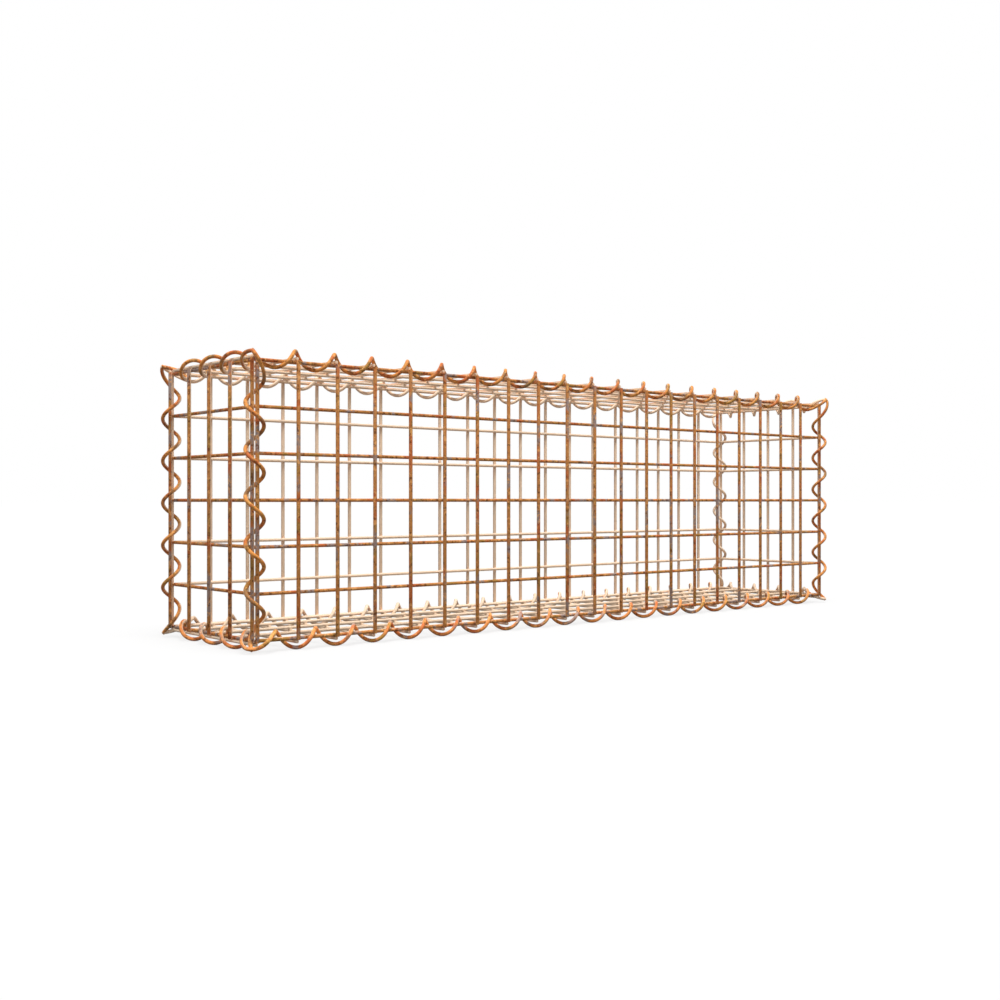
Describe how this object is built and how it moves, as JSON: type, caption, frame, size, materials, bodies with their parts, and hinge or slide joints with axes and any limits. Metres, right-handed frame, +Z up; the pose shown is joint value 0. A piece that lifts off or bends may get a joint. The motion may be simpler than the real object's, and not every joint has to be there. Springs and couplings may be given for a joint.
{
  "type": "gabion basket",
  "caption": "Empty welded-mesh gabion basket: a long flat-sided rusted wire box with a lid, its mesh panels laced along every edge by spiral binders.",
  "frame": {"origin": "on the ground, in the middle of the basket's length and depth, under the lowest turns of the bottom binders", "axes": "+X along the basket, +Y from the front panel to the back panel, +Z up"},
  "size_m": [1.0262, 0.2242, 0.3256],
  "materials": {
    "rusted_mesh": "orange-brown rusted steel wire with mauve-grey mill scale patches",
    "rusted_binder": "smoother orange-brown rusted steel wire"
  },
  "bodies": {
    "root": {"front_panel": "rusted_mesh", "back_panel": "rusted_mesh", "left_end_panel": "rusted_mesh", "right_end_panel": "rusted_mesh", "lid_panel": "rusted_mesh", "floor_panel": "rusted_mesh", "front_top_binder": "rusted_binder", "front_bottom_binder": "rusted_binder", "back_top_binder": "rusted_binder", "back_bottom_binder": "rusted_binder", "left_top_binder": "rusted_binder", "left_bottom_binder": "rusted_binder", "right_top_binder": "rusted_binder", "right_bottom_binder": "rusted_binder", "front_left_binder": "rusted_binder", "front_right_binder": "rusted_binder", "back_left_binder": "rusted_binder", "back_right_binder": "rusted_binder"}
  },
  "joints": []
}
